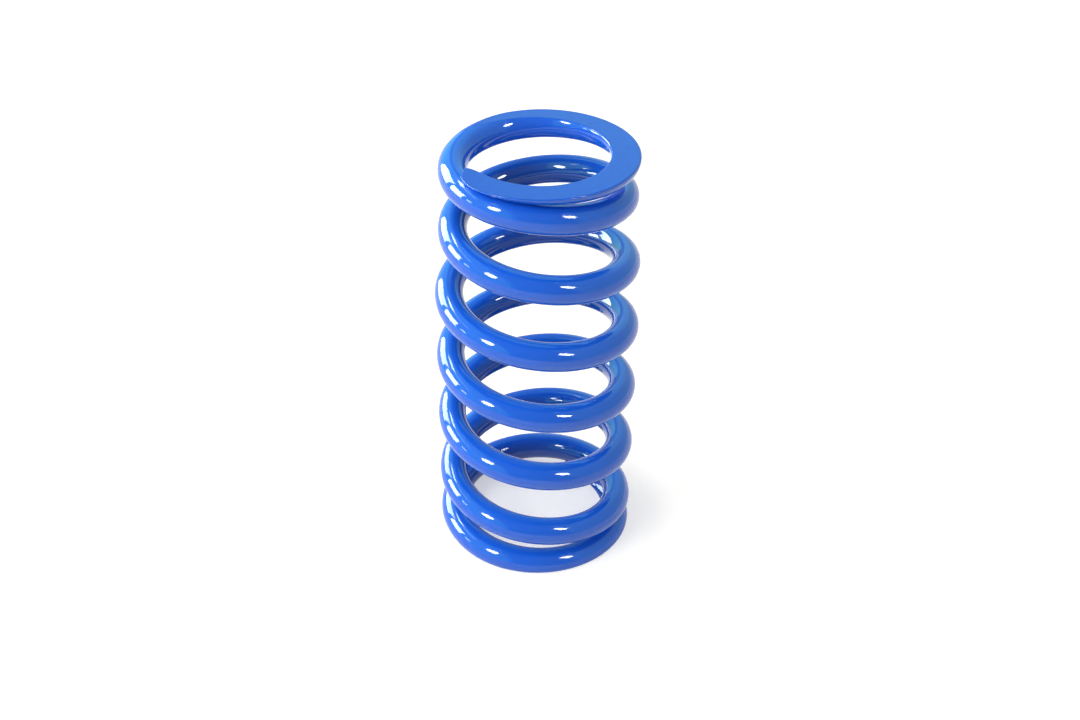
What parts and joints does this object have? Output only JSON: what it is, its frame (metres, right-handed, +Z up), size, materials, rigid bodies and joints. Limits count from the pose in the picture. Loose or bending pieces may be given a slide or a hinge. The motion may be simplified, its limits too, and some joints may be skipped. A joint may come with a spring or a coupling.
{
  "type": "shock absorber coil spring",
  "caption": "Left-handed steel compression spring with closed, ground ends and a gloss blue finish, made to sit over a shock absorber and carry its load.",
  "frame": {"origin": "centre of the lower ground face, on the coil's axis", "axes": "+Z up along the coil's axis to the upper ground face, +X to the right and -Y to the front of the picture's view"},
  "size_m": [0.079, 0.079, 0.17],
  "materials": {
    "blue_enamel": "gloss blue enamel over steel wire"
  },
  "bodies": {
    "root": {"coil_spring": "blue_enamel"}
  },
  "joints": []
}
